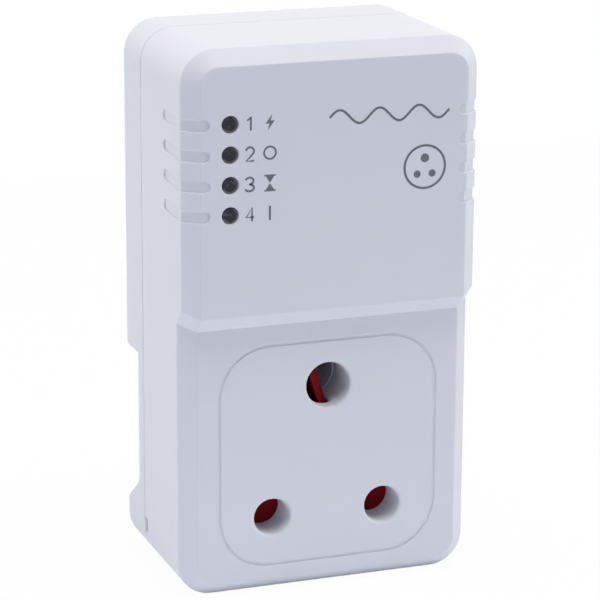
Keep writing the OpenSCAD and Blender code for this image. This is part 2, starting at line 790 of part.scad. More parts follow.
module relay_coil() {
    y0 = relay_y + base_t + yoke_t + 2 * screw_clear;
    y1 = core_end_y - tip_room;
    color([0.62, 0.28, 0.12]) turned_y([relay_at[0], core_z]) polygon([
        [core_r + 2 * screw_clear, y0], [coil_r + tip_room, y0], [coil_r + tip_room, y0 + bobbin_t],
        [coil_r, y0 + bobbin_t], [coil_r, y1 - bobbin_t], [coil_r + tip_room, y1 - bobbin_t],
        [coil_r + tip_room, y1], [core_r + 2 * screw_clear, y1]]);
}
module relay_yoke() {
    color(steel) {
        foot_y = relay_y + base_t;
        along_x(relay_at[0] - yoke_w / 2, relay_at[0] + yoke_w / 2) {
            translate([foot_y, yoke_z - yoke_t / 2]) square([yoke_top_y - foot_y, yoke_t]);
            translate([yoke_top_y, yoke_z]) circle(yoke_t / 2);
            translate([foot_y, core_z - core_r]) square([yoke_t, yoke_z - core_z + core_r]);
        }
        bar_y([relay_at[0], core_z], core_r, foot_y, core_end_y);
    }
}
module relay_armature() {
    plate_y = core_end_y + armature_gap;
    color([0.60, 0.61, 0.64]) {
        difference() {
            along_x(relay_at[0] - yoke_w / 2, relay_at[0] + yoke_w / 2) {
                translate([plate_y, button_z - button_r])
                    square([armature_t, yoke_z + heel - button_z + button_r]);
                translate([yoke_top_y + 2 * screw_clear, yoke_z - heel])
                    square([plate_y - yoke_top_y, 2 * heel]);
            }
            translate([relay_at[0] - yoke_w, yoke_top_y, yoke_z]) rotate([0, 90, 0])
                cylinder(h = 2 * yoke_w, r = yoke_t / 2 + 2 * screw_clear);
        }
        bar_y([relay_at[0], button_z], button_r, plate_y - button_r / 2, plate_y + armature_t / 2);
    }
}
module relay_contact() {
    top_y = core_end_y - armature_gap;
    color(brass) {
        along_x(relay_at[0] - button_r * 2, relay_at[0] + button_r * 2)
            translate([relay_y + base_t, button_z - strap_t / 2]) square([top_y - relay_y - base_t, strap_t]);
        bar_y([relay_at[0], button_z], button_r / 2 + strap_t / 4, top_y - over, top_y + button_r / 4);
    }
}
module relay_spring() {
    leaf_z = yoke_z + yoke_t / 2 + leaf_out;
    top_y = core_end_y + armature_gap + armature_t + leaf_t;
    color(brass) along_x(relay_at[0] - button_r * 2, relay_at[0] + button_r * 2)
        strip([[relay_y + base_t + over, leaf_z], [top_y, leaf_z], [top_y, core_z]], leaf_t, over / 2);
}

// Varistors, thermal cut-out, fuse and the other parts on the back of the board
disc_r = fit_share * 6.2;
disc_t = fit_share * 4.2;
disc_up_share = 0.778;
disc_row_z = board_low + disc_up_share * board_h;
disc_soft = fit_share * 1.2;
cutout_up = fit_share * 2.2;
cutout_len = fit_share * 10;
cutout_r = fit_share * 1.9;
disc_out_share = 0.778;
disc_step_share = 0.237;
disc_places = [for (i = [0 : 2]) (i * disc_step_share - disc_out_share) * board_w / 2];
module varistor(i, tint) {
    disc_y = board_back_y + over + disc_r;
    soft = disc_soft;
    color(tint) translate([disc_places[i] - disc_t / 2, disc_y, disc_row_z]) rotate([0, 90, 0])
        rotate_extrude()
        polygon([[0, 0], [disc_r - soft, 0], [disc_r, soft], [disc_r, disc_t - soft], [disc_r - soft, disc_t],
            [0, disc_t]]);
    color(steel) for (s = [-1, 1]) bar_y([disc_places[i], disc_row_z + s * disc_r / 2], lead_r, board_back_y,
        disc_y - disc_r / 2);
}
module thermal_cutout() {
    at_y = board_back_y + over + disc_r;
    z = disc_row_z + disc_r + cutout_up;
    x = disc_places[0] + over;
    color([0.90, 0.88, 0.80]) translate([x, at_y, z]) rotate([0, 90, 0])
        cylinder(h = cutout_len, r = cutout_r);
    color(steel) for (lead_x = [x + 2 * lead_r, x + cutout_len - 2 * lead_r])
        bar_y([lead_x, z], lead_r, board_back_y, at_y);
}
fuse_out_share = 0.74;
fuse_up_share = 0.362;
fuse_rise = fit_share * 4.2;
fuse_at = on_board(-fuse_out_share, fuse_up_share);
fuse_len = fit_share * 20;
fuse_r = fit_share * 2.6;
fuse_cap = fit_share * 5;
glass_t = fit_share * 0.4;
fuse_y = board_back_y + fuse_rise;
module bar_x(x0, x1, r) {
    translate([x0, fuse_y, fuse_at[1]]) rotate([0, 90, 0]) cylinder(h = x1 - x0, r = r);
}
module fuse_glass() {
    color([0.75, 0.85, 0.85]) difference() {
        bar_x(fuse_at[0] + glass_t, fuse_at[0] + fuse_len - glass_t, fuse_r - glass_t);
        bar_x(fuse_at[0], fuse_at[0] + fuse_len, fuse_r - 2.5 * glass_t);
    }
}
module fuse_caps() {
    last = fuse_at[0] + fuse_len;
    color(steel) difference() {
        union() {
            bar_x(fuse_at[0], fuse_at[0] + fuse_cap, fuse_r);
            bar_x(last - fuse_cap, last, fuse_r);
        }
        bar_x(fuse_at[0] + glass_t, last - glass_t, fuse_r - glass_t + screw_clear);
    }
}
module fuse_clips() {
    ear = fuse_r + screw_clear;
    color(brass) for (x = [fuse_at[0] + over / 2, fuse_at[0] + fuse_len - fuse_cap + over / 2])
        along_x(x, x + fuse_cap - over) translate([fuse_y, fuse_at[1]]) difference() {
            union() {
                circle(ear + strap_t / 2);
                translate([board_back_y - fuse_y, -over]) square([fuse_y - board_back_y - fuse_r, 2 * over]);
            }
            circle(ear);
            translate([fuse_r / 2, -fuse_r * 2]) square([fuse_r * 2, fuse_r * 4]);
        }
}
supply_out_share = 0.444;
supply_up_share = 0.18;
supply_w = fit_share * 17;
supply_h = fit_share * 6.8;
supply_d = fit_share * 14;
bridge_out_share = 0.296;
bridge_up_share = 0.217;
bridge_w = fit_share * 8.4;
chip_out_share = 0.37;
chip_up_share = 0.545;
chip_w = fit_share * 9.4;
chip_h = fit_share * 6.2;
chip_d = fit_share * 3.6;
module boxed_part(at, w, h, d, r) {
    along_y(board_back_y + tip_room, board_back_y + d) translate(at) round_rect(w, h, r);
    for (s = [-1, 1]) bar_y([at[0] + s * w / 3, at[1]], lead_r, board_back_y, board_back_y + over);
}
module supply_capacitor() {
    color([0.80, 0.62, 0.12])
        boxed_part(on_board(-supply_out_share, supply_up_share), supply_w, supply_h, supply_d, over);
}
module bridge_rectifier() {
    color(dark) boxed_part(on_board(bridge_out_share, bridge_up_share), bridge_w, chip_h, chip_d, over / 2);
}
module timer_chip() {
    color(dark) boxed_part(on_board(-chip_out_share, chip_up_share), chip_w, chip_h, chip_d, over / 2);
}
can_up_share = 0.65;
can_at = on_board(0, can_up_share);
can_r = fit_share * 4.2;
can_h = fit_share * 15;
can_soft = fit_share * 0.5;
module smoothing_capacitor() {
    can_y = board_back_y + can_h;
    color([0.12, 0.16, 0.34]) {
        turned_y(can_at) polygon([[0, board_back_y + tip_room], [can_r, board_back_y + tip_room],
            [can_r, can_y], [can_r - can_soft, can_y + can_soft], [0, can_y + can_soft]]);
        for (s = [-1, 1])
            bar_y([can_at[0], can_at[1] + s * can_r / 2], lead_r, board_back_y, board_back_y + over);
    }
}
resistor_len = fit_share * 8;
resistor_r = fit_share * 1.3;
pair_out_share = 0.5;
pair_up_share = 0.193;
pair_step_share = 0.087;
lone_out_share = 0.907;
lone_up_share = 0.494;
module resistors() {
    places = [for (i = [0, 1]) on_board(pair_out_share, pair_up_share + i * pair_step_share),
        on_board(-lone_out_share, lone_up_share)];
    color([0.78, 0.70, 0.55]) for (at = places) {
        translate([at[0], board_back_y + 2 * resistor_r, at[1]]) rotate([0, 90, 0]) cylinder(h = resistor_len,
            r = resistor_r);
        for (x = [at[0] + 2 * lead_r, at[0] + resistor_len - 2 * lead_r])
            bar_y([x, at[1]], lead_r, board_back_y, board_back_y + 2 * resistor_r);
    }
}

// Straps: strips bent in the y and z plane, riveted to pins and contacts
strap_w = 5;
strap_bend = 1.5;
lug_r = 4;
pin_lug_y = tail_y - strap_t / 2;
sleeve_lug_y = line_end_y + strap_t * 1.5;
strap_turn = 10;
strap_turn_z = socket_z + strap_turn;
strap_shift = 3;
tab_lift = 0.9;
tab_z = board_low + tab_lift;
module riveted(at, y) {
    difference() {
        union() {
            children();
            bar_y(at, lug_r, y - strap_t / 2, y + strap_t / 2);
        }
        bar_y(at, rivet_r + rivet_clear, y - strap_t, y + strap_t);
    }
}
module strap(x, path) {
    along_x(x - strap_w / 2, x + strap_w / 2) strip(path, strap_t, strap_bend);
}
module line_in_strap() {
    color(brass) riveted(line_at, pin_lug_y) strap(line_at[0] + strap_shift,
        [[pin_lug_y, socket_z], [pin_lug_y, tab_z], [board_back_y, tab_z]]);
}
module line_out_strap() {
    color(brass) riveted(line_at, sleeve_lug_y) strap(line_at[0] - strap_shift,
        [[sleeve_lug_y, socket_z], [sleeve_lug_y, tab_z], [board_back_y, tab_z]]);
}
module neutral_strap() {
    color(brass) riveted(neutral_at, pin_lug_y) riveted(neutral_at, sleeve_lug_y) {
        strap(neutral_at[0], [[pin_lug_y, socket_z], [pin_lug_y, strap_turn_z],
            [sleeve_lug_y, strap_turn_z], [sleeve_lug_y, socket_z]]);
        strap(neutral_at[0], [[sleeve_lug_y, socket_z], [sleeve_lug_y, tab_z], [board_back_y, tab_z]]);
    }
}
module earth_strap() {
    color(brass) riveted(earth_at, pin_lug_y) strap(earth_at[0],
        [[pin_lug_y, earth_z], [pin_lug_y, tab_z], [board_back_y, tab_z]]);
}

front_cover();
rear_housing();
case_screws();
pin(line_at, line_pin_r, line_pin_len);  // line_pin
pin(neutral_at, line_pin_r, line_pin_len);  // neutral_pin
pin(earth_at, earth_pin_r, earth_pin_len);  // earth_pin
pin_retainer();
retainer_screws();
contact_carrier();
carrier_screws();
contact(line_at, line_pin_r, 0, line_end_y, 90, true);  // line_contact
contact(neutral_at, line_pin_r, 0, line_end_y, 270, true);  // neutral_contact
contact(earth_at, earth_pin_r, earth_recess, earth_end_y, 0, false);  // earth_contact
shutter();
shutter_spring();
shutter_washer();
circuit_board();
board_screws();
lamp_lens();
lamp(0, [0.75, 0.20, 0.18]);  // surge_lamp
lamp(1, [0.75, 0.20, 0.18]);  // off_lamp
lamp(2, [0.85, 0.65, 0.20]);  // wait_lamp
lamp(3, [0.25, 0.65, 0.30]);  // on_lamp
relay_base();
relay_cover();
relay_coil();
relay_yoke();
relay_armature();
relay_contact();
relay_spring();
varistor(0, [0.15, 0.30, 0.65]);  // varistor_line_neutral
varistor(1, [0.15, 0.30, 0.65]);  // varistor_line_earth
varistor(2, [0.15, 0.30, 0.65]);  // varistor_neutral_earth
thermal_cutout();
fuse_glass();
fuse_caps();
fuse_clips();
supply_capacitor();
smoothing_capacitor();
bridge_rectifier();
timer_chip();
resistors();
line_in_strap();
line_out_strap();
neutral_strap();
earth_strap();
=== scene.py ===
# %% [markdown]
# # A surge protector plug
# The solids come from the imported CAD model. This script gives them their finishes, softens their
# moulded edges, prints the marks on the status panel, and sets up the camera, the light and the
# floor.

# %% Load the solids
import json
import math

import bmesh
import bpy
from mathutils import Matrix, Vector


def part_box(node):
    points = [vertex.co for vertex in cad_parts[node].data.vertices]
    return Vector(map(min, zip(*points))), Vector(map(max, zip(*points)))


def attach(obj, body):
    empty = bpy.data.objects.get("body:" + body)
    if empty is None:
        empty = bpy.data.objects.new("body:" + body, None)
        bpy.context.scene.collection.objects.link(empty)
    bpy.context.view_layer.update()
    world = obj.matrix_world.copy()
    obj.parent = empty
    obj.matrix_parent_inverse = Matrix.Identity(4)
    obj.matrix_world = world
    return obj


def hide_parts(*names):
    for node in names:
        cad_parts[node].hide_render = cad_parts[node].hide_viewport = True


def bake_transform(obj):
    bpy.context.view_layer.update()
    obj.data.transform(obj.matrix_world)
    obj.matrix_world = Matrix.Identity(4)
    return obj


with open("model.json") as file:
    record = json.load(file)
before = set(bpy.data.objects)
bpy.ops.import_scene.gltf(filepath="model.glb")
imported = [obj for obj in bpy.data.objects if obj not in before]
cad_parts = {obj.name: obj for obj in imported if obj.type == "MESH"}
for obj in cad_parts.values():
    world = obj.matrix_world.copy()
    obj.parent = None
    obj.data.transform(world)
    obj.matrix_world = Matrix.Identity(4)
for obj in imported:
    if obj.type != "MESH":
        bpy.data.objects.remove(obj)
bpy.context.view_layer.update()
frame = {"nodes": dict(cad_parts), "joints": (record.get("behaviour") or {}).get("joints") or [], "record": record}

MM = 0.001

# %% [markdown]
# ## The camera
# The photograph was taken from a little to the left and above, with a long lens. The angles, the
# focal length in pixels and the distance were worked out from the object's own corners: the
# spacing of the two pin holes, the case's edges and the step under the panel. One known point, in
# the middle between the two lower holes on the socket face, then fixes where the camera stands.

# %% Set up the camera
PHOTO_PX = 600
SENSOR_MM = 36
FOCAL_PX = 2771.9
AZIMUTH, ELEVATION, ROLL = (math.radians(a) for a in (20.07, 15.60, 0.28))
SOCKET_CENTRE = Vector((0, -20.3, 17.5)) * MM
SOCKET_CENTRE_PX = (327.62, 508.35)
SOCKET_DISTANCE = 601.25 * MM
NEAR, FAR = 0.05, 50


def camera_axes():
    """The camera's right, up and back directions."""
    back = Vector((-math.sin(AZIMUTH) * math.cos(ELEVATION),
                   -math.cos(AZIMUTH) * math.cos(ELEVATION), math.sin(ELEVATION)))
    right = Vector((math.cos(AZIMUTH), -math.sin(AZIMUTH), 0))
    up = back.cross(right)
    c, s = math.cos(ROLL), math.sin(ROLL)
    return c * right + s * up, c * up - s * right, back


def add_camera():
    right, up, back = camera_axes()
    middle = PHOTO_PX / 2
    across = (SOCKET_CENTRE_PX[0] - middle) / FOCAL_PX * SOCKET_DISTANCE
    above = (middle - SOCKET_CENTRE_PX[1]) / FOCAL_PX * SOCKET_DISTANCE
    data = bpy.data.cameras.new("photo_camera")
    data.sensor_width = SENSOR_MM
    data.lens = SENSOR_MM * FOCAL_PX / PHOTO_PX
    data.clip_start, data.clip_end = NEAR, FAR
    camera = bpy.data.objects.new("photo_camera", data)
    bpy.context.scene.collection.objects.link(camera)
    place = SOCKET_CENTRE + SOCKET_DISTANCE * back - across * right - above * up
    turn = Matrix((right, up, back)).transposed().to_4x4()
    camera.matrix_world = Matrix.Translation(place) @ turn
    return camera


camera = add_camera()
bpy.context.scene.camera = camera
print("camera at", [round(v, 4) for v in camera.matrix_world.translation], "lens", camera.data.lens)

# %% [markdown]
# ## Nodes as Python expressions
# Finishes, the sky and one modifier are trees of nodes. Wired by hand, even `1 - mask` takes
# several lines. The class below wraps a socket, so that sums on it add their Math nodes, and
# `Nodes.node` makes any other node from its type, its settings and the values or links of its
# sockets.

# %% A socket that Python's operators work on
class Wire:
    """One output socket of a tree of nodes."""

    def __init__(self, nodes, socket):
        self.nodes, self.socket = nodes, socket

    def maths(self, operation, *values):
        return self.nodes.node("ShaderNodeMath", {"operation": operation}, dict(enumerate(values)))

    def __add__(self, other):
        return self.maths("ADD", self, other)

    def __sub__(self, other):
        return self.maths("SUBTRACT", self, other)

    def __rsub__(self, other):
        return self.maths("SUBTRACT", other, self)

    def __mul__(self, other):
        return self.maths("MULTIPLY", self, other)

    def __truediv__(self, other):
        return self.maths("DIVIDE", self, other)

    def __pow__(self, other):
        return self.maths("POWER", self, other)

    def __mod__(self, other):
        return self.maths("MODULO", self, other)

    __radd__ = __add__
    __rmul__ = __mul__

    def sin(self):
        return self.maths("SINE", self)

    def size(self):
        return self.maths("ABSOLUTE", self)

    def root(self):
        return self.maths("SQRT", self)

    def larger(self, other):
        return self.maths("MAXIMUM", self, other)

    def past(self, edge):
        """1 above the edge and 0 below it."""
        return self.maths("GREATER_THAN", self, edge)

    def over(self, edge, soft):
        """0 below the edge and 1 above it, with a soft step."""
        return self.nodes.node("ShaderNodeMapRange", {"interpolation_type": "SMOOTHSTEP"},
                               {0: self, 1: edge - soft, 2: edge + soft})


# %% A tree of nodes
class Nodes:
    """A tree that is filled from expressions."""

    def __init__(self, tree):
        self.tree = tree
        tree.nodes.clear()

    def node(self, kind, settings=None, sockets=None, output=0):
        made = self.tree.nodes.new(kind)
        for name, value in (settings or {}).items():
            setattr(made, name, value)
        for key, value in (sockets or {}).items():
            if isinstance(value, Wire):
                self.tree.links.new(value.socket, made.inputs[key])
            else:
                made.inputs[key].default_value = value
        return Wire(self, made.outputs[output])

    def split(self, place):
        """x, y and z of a place, in metres."""
        parts = self.node("ShaderNodeSeparateXYZ", sockets={0: place}).socket.node
        return [Wire(self, out) for out in parts.outputs]


# %% A finish
class Finish(Nodes):
    """A material made from expressions."""

    def __init__(self, name):
        self.material = bpy.data.materials.new(name)
        self.material.use_nodes = True
        super().__init__(self.material.node_tree)
        self.output = self.tree.nodes.new("ShaderNodeOutputMaterial")

    def place(self):
        return self.node("ShaderNodeTexCoord", output="Object")

    def axes(self):
        return self.split(self.place())

    def noise(self, per_mm, detail=2.0, rough=0.5, stretch=(1, 1, 1)):
        """Soft random spots, so many to a millimetre, from 0 to 1."""
        spots = self.node("ShaderNodeMapping", sockets={"Vector": self.place(), "Scale": stretch})
        return self.node("ShaderNodeTexNoise", sockets={
            "Vector": spots, "Scale": per_mm / MM, "Detail": detail, "Roughness": rough})

    def blend(self, first, second, share):
        """A colour between two colours."""
        return self.node("ShaderNodeMix", {"data_type": "RGBA"},
                         {0: share, 6: first, 7: second}, output=2)

    def bump(self, height, depth_mm):
        return self.node("ShaderNodeBump", sockets={
            "Height": height, "Distance": depth_mm * MM, "Strength": 1.0})

    def surface(self, **values):
        """The shader itself; its sockets are named with _ for a space."""
        sockets = {name.replace("_", " "): value for name, value in values.items()}
        shader = self.node("ShaderNodeBsdfPrincipled", sockets=sockets)
        self.tree.links.new(shader.socket, self.output.inputs["Surface"])
        return self


def rgb(red, green, blue):
    return (red, green, blue, 1.0)


def shade(colour, factor):
    """A colour made lighter or darker."""
    return tuple(min(1.0, part * factor) for part in colour[:3]) + (1.0,)


# %% [markdown]
# ## Moulded plastics
# A moulded shell has one colour right through, so its looks come from the mould: a fine
# spark-eroded grain that softens reflections, faint flow clouds, and slightly glossier patches
# where hands rub it. The grain is a bump of a few micrometres at about four spots to a
# millimetre. It could be modelled, but at that size only its gloss is seen, so a bump is enough.
# `mirror` says how strongly the surface mirrors: the eroded shell and the shutter are duller than
# plastic from a polished mould.

# %% White shell and other moulded plastics
CLOUDS_PER_MM, GRAINS_PER_MM, RUBS_PER_MM = 0.045, 3.5, 0.12
CLOUD_DEPTH = 0.012


def moulded(name, colour, roughness=0.42, grain_mm=0.006, mirror=0.5):
    finish = Finish(name)
    cloud = finish.noise(CLOUDS_PER_MM, detail=3)
    grain = finish.noise(GRAINS_PER_MM, detail=2, rough=0.6)
    rub = finish.noise(RUBS_PER_MM, detail=4, rough=0.65)
    dark, pale = shade(colour, 1 - CLOUD_DEPTH), shade(colour, 1 + CLOUD_DEPTH)
    return finish.surface(
        Base_Color=finish.blend(dark, pale, cloud),
        Roughness=roughness - 0.04 + 0.05 * rub + 0.03 * grain,
        Specular_IOR_Level=mirror,
        Normal=finish.bump(grain, grain_mm))


WHITE = rgb(0.800, 0.803, 0.850)
FINISHES = {
    "white_plastic": moulded("white_shell", WHITE, roughness=0.59, mirror=0.3),
    "shutter_red": moulded("shutter_red", rgb(0.215, 0.001, 0.006), roughness=0.45,
                           grain_mm=0.002, mirror=0.12),
    "black_plastic": moulded("black_moulding", rgb(0.035, 0.035, 0.040), roughness=0.5),
    "carrier_white": moulded("carrier_white", rgb(0.700, 0.700, 0.720), roughness=0.5,
                             grain_mm=0.008),
    "relay_blue": moulded("relay_blue", rgb(0.060, 0.180, 0.420), roughness=0.35),
    "film_yellow": moulded("film_capacitor_yellow", rgb(0.560, 0.380, 0.050), roughness=0.38),
    "cutout_cream": moulded("cutout_cream", rgb(0.720, 0.680, 0.560), roughness=0.6,
                            grain_mm=0.012),
}
print("moulded plastics:", len(FINISHES))

# %% [markdown]
# ## Smoked lamp lens
# The four dark studs are one smoked moulding. Unlit, such a lens shows almost nothing of the lamp behind it: a
# near-black body with a few faint spots. The paler ring where the stud curves back to the edge of its window is
# painted light: a painted highlight on that slope, brightest towards the lower right, where the slope faces the
# floor and the right-hand lamp. Glass-like refraction would cost much light work for no visible gain, so colour
# alone gives the ring. The studs stand one pitch apart, so the remainder of a division by the pitch says where in
# its own window a point lies.

# %% Smoked lens and lamps
STUD_SHARE = 0.289  # a stud's radius over the lamps' pitch
# The paler ring and its brighter lower right side are a painted highlight; these numbers place it in each window.
PAINTED_RING = (0.76, 0.93)  # where the paler ring starts and ends, as shares of that radius
PAINTED_LIGHT_FROM, PAINTED_LIGHT_SOFT, PAINTED_LIGHT_REST = -0.17, 0.28, 0.08
FLANGE_Y, FLANGE_SOFT = -17.0 * MM, 1.5 * MM


def in_window(finish, lowest, pitch):
    """How far right of and above the middle of the nearest lamp window a point lies."""
    x, _, z = finish.axes()
    return x - lowest.x, (z - (lowest.z - pitch / 2)) % pitch - pitch / 2


def smoked(name, lowest, pitch, radius):
    finish = Finish(name)
    streak = finish.noise(0.9, detail=2)
    spots = finish.noise(0.75, detail=2).over(0.60, 0.10)
    right, up = in_window(finish, lowest, pitch)
    away = (right ** 2 + up ** 2).root() / radius
    # Painted light: a paler ring round the stud's edge, brightest towards the lower right and faint on the far
    # side.
    ring = away.over(PAINTED_RING[0], 0.06) * (1 - away.over(PAINTED_RING[1], 0.05))
    painted_light_side = ((right - up) * 0.7 / radius).over(PAINTED_LIGHT_FROM, PAINTED_LIGHT_SOFT)
    painted_highlight = ring * (PAINTED_LIGHT_REST + (1 - PAINTED_LIGHT_REST) * painted_light_side)
    body = finish.blend(rgb(0.013, 0.016, 0.025), rgb(0.070, 0.070, 0.076), spots)
    return finish.surface(
        Base_Color=finish.blend(body, rgb(0.205, 0.200, 0.210), painted_highlight),
        Roughness=0.26 + 0.05 * streak, Specular_IOR_Level=0.30,
        Normal=finish.bump(streak, 0.01))


def tinted_lamp(name, colour):
    """A diffused lamp whose colour is darker towards its flange."""
    finish = Finish(name)
    _, depth, _ = finish.axes()
    towards_flange = depth.over(FLANGE_Y, FLANGE_SOFT)
    milk = finish.noise(1.5, detail=3)
    milky = finish.blend(colour, shade(colour, 1.25), milk)
    return finish.surface(
        Base_Color=finish.blend(milky, shade(colour, 0.7), towards_flange),
        Roughness=0.24 + 0.06 * milk, Coat_Weight=0.3, Coat_Roughness=0.08)


LAMPS = [Vector(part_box(name)[0]).lerp(Vector(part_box(name)[1]), 0.5)
         for name in ("surge_lamp", "off_lamp", "wait_lamp", "on_lamp")]
LAMP_PITCH = LAMPS[0].z - LAMPS[1].z
FINISHES["smoked_lens"] = smoked("smoked_lens", LAMPS[-1], LAMP_PITCH, STUD_SHARE * LAMP_PITCH)
FINISHES["lamp_red"] = tinted_lamp("lamp_red", rgb(0.480, 0.050, 0.040))
FINISHES["lamp_amber"] = tinted_lamp("lamp_amber", rgb(0.620, 0.330, 0.040))
FINISHES["lamp_green"] = tinted_lamp("lamp_green", rgb(0.060, 0.380, 0.100))
print("lens and lamps:", "smoked_lens", "lamp_red", "lamp_amber", "lamp_green")

# %% [markdown]
# ## Metals
# The pins are turned from brass bar: the tool leaves fine rings round them, which stretch
# highlights along the pin. Rings are a function of one coordinate, so the bump is the sine of the
# place along the pin, broken up by noise. Sheet metal has scratches that run one way instead.

# %% Brass, steel and copper wire
STAIN_DEPTH = 0.24


def metal(name, colour, roughness, rings_mm=0.0, depth_mm=0.0015):
    finish = Finish(name)
    _, along, _ = finish.axes()
    fine = finish.noise(2.2, detail=3, rough=0.6)
    stain = finish.noise(0.25, detail=4, rough=0.6)
    if rings_mm:
        height = ((along / (rings_mm * MM)) * math.tau + fine * 5).sin() * 0.5 + 0.5
    else:
        height = finish.noise(6, detail=2, stretch=(0.08, 1, 1))
    return finish.surface(
        Base_Color=finish.blend(colour, shade(colour, 1 - STAIN_DEPTH), stain.over(0.58, 0.16)),
        Metallic=1.0,
        Roughness=roughness + 0.10 * stain + 0.05 * fine,
        Normal=finish.bump(height, depth_mm))


FINISHES["brass"] = metal("turned_brass", rgb(0.780, 0.570, 0.250), 0.24, rings_mm=0.16)
FINISHES["steel"] = metal("zinc_plated_steel", rgb(0.600, 0.610, 0.630), 0.30)
FINISHES["coil_copper"] = metal("enamelled_copper", rgb(0.560, 0.210, 0.090), 0.34,
                                rings_mm=0.18, depth_mm=0.05)
print("metals:", "turned_brass", "zinc_plated_steel", "enamelled_copper")

# %% [markdown]
# ## Parts on the board
# These are never in daylight, but the case can be opened. The board's solder mask is glossier
# over its copper, dipped epoxy has a pebbled skin, and the fuse has a clear glass tube.

# %% Board, varistors, capacitor sleeve, resistors and fuse glass
TRACKS_X, TRACKS_Z, TRACK_WANDER = 900, 700, 6


def masked_board(name):
    finish = Finish(name)
    x, _, z = finish.axes()
    wander = finish.noise(0.05, detail=0) * TRACK_WANDER
    lanes = ((x * TRACKS_X + wander).sin() * (z * TRACKS_Z).sin()).over(0.25, 0.04)
    weave = finish.noise(3, detail=1)
    return finish.surface(
        Base_Color=finish.blend(rgb(0.018, 0.120, 0.050), rgb(0.040, 0.200, 0.085), lanes),
        Roughness=0.34 - 0.10 * lanes + 0.05 * weave, Coat_Weight=0.3, Coat_Roughness=0.2,
        Normal=finish.bump(lanes + 0.3 * weave, 0.02))


def dipped(name, colour):
    finish = Finish(name)
    pebble = finish.noise(1.1, detail=3, rough=0.55)
    return finish.surface(
        Base_Color=finish.blend(shade(colour, 0.85), shade(colour, 1.1), pebble),
        Roughness=0.28 + 0.10 * pebble, Normal=finish.bump(pebble, 0.05))


def clear_glass(name):
    finish = Finish(name)
    smear = finish.noise(0.4, detail=3)
    return finish.surface(
        Base_Color=rgb(0.900, 0.940, 0.930), Roughness=0.03 + 0.06 * smear,
        Transmission_Weight=1.0, IOR=1.5, Alpha=0.55 + 0.05 * smear)


FINISHES["board_green"] = masked_board("solder_mask_green")
FINISHES["varistor_blue"] = dipped("varistor_blue", rgb(0.045, 0.130, 0.400))
FINISHES["can_blue"] = dipped("capacitor_sleeve_blue", rgb(0.035, 0.055, 0.190))
FINISHES["resistor_tan"] = dipped("resistor_tan", rgb(0.560, 0.430, 0.260))
FINISHES["fuse_glass"] = clear_glass("fuse_glass")
print("finishes in all:", len(FINISHES))

# %% [markdown]
# ## Dressing the CAD solids
# Each solid's material slot in the record names its finish. A real moulding has no knife edges,
# and the thin bright lines round the grooves come from edges that are slightly round. The solids
# arrive as triangles, so a Weld joins them, a planar Decimate merges the flat ones, and the Bevel
# then runs along whole edges. Weighted normals keep the flats flat beside the rounds.
#
# Bevel's own clamp makes all rounds as small as the tightest corner allows, deep inside the
# shells too. For the two shells a small tree of geometry nodes therefore picks the edges first:
# those that stand out, turn by more than 34 degrees and lie on the outside. The slope under the
# panel ends in strips a twentieth of a millimetre wide. A bevel would fold over them, so the
# shells' Weld joins points up to 0.09 mm apart, which takes the strips out.

# %% Finishes by slot
slot_of = {part["node"]: part["material_slot"] for part in frame["record"]["subparts"]}
for name, solid in frame["nodes"].items():
    finish = FINISHES[slot_of[name]]
    if not solid.material_slots:
        solid.data.materials.append(finish.material)
    for slot in solid.material_slots:
        slot.material = finish.material
print("dressed:", len(slot_of), "nodes in", len(set(slot_of.values())), "finishes")

# %% Edges to round on the shells
SHARP = math.radians(34)
SKIN_MM = 3.5


def outer_edges(low, high):
    """A modifier's tree that gives the outer sharp edges between two corners the weight 1."""
    group = bpy.data.node_groups.new("outer_edges", "GeometryNodeTree")
    for way in ("INPUT", "OUTPUT"):
        group.interface.new_socket("Geometry", in_out=way, socket_type="NodeSocketGeometry")
    nodes = Nodes(group)
    turn = nodes.node("GeometryNodeInputMeshEdgeAngle", output="Signed Angle")
    place = nodes.split(nodes.node("GeometryNodeInputPosition"))
    outside = 0
    for at, least, most in zip(place, low, high):
        middle, reach = (least + most) / 2, (most - least) / 2 - SKIN_MM * MM
        outside = (at - middle).size().past(reach) + outside
    stored = nodes.node(
        "GeometryNodeStoreNamedAttribute", {"data_type": "FLOAT", "domain": "EDGE"}, {
            "Geometry": nodes.node("NodeGroupInput"), "Name": "bevel_weight_edge",
            "Value": turn.past(SHARP) * outside.past(0.5)})
    group.links.new(stored.socket, group.nodes.new("NodeGroupOutput").inputs[0])
    return group


print("skin:", SKIN_MM, "mm")

# %% Soft edges
ROUND_MM = {"front_cover": 0.22, "rear_housing": 0.15, "shutter": 0.18, "line_pin": 0.1,
            "neutral_pin": 0.1, "earth_pin": 0.1}
SHELLS = ("front_cover", "rear_housing")
JOIN_MM, SHELL_JOIN_MM = 0.002, 0.09
FLAT = math.radians(0.5)
SEGMENTS = 2


def soften(solid, round_mm, chosen=None):
    """Rounds a solid's sharp edges, or the chosen ones, without touching its mesh."""
    weld = solid.modifiers.new("join", "WELD")
    weld.merge_threshold = (SHELL_JOIN_MM if chosen else JOIN_MM) * MM
    flat = solid.modifiers.new("flats", "DECIMATE")
    flat.decimate_type = "DISSOLVE"
    flat.angle_limit = FLAT
    if chosen:
        solid.modifiers.new("choose", "NODES").node_group = chosen
    bevel = solid.modifiers.new("round", "BEVEL")
    bevel.width = round_mm * MM
    bevel.segments = SEGMENTS
    bevel.limit_method = "WEIGHT" if chosen else "ANGLE"
    bevel.angle_limit = SHARP
    bevel.use_clamp_overlap = not chosen
    normals = solid.modifiers.new("normals", "WEIGHTED_NORMAL")
    normals.keep_sharp = True


for name, round_mm in ROUND_MM.items():
    soften(frame["nodes"][name], round_mm, outer_edges(*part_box(name)) if name in SHELLS else None)
print("rounded:", ", ".join(ROUND_MM))
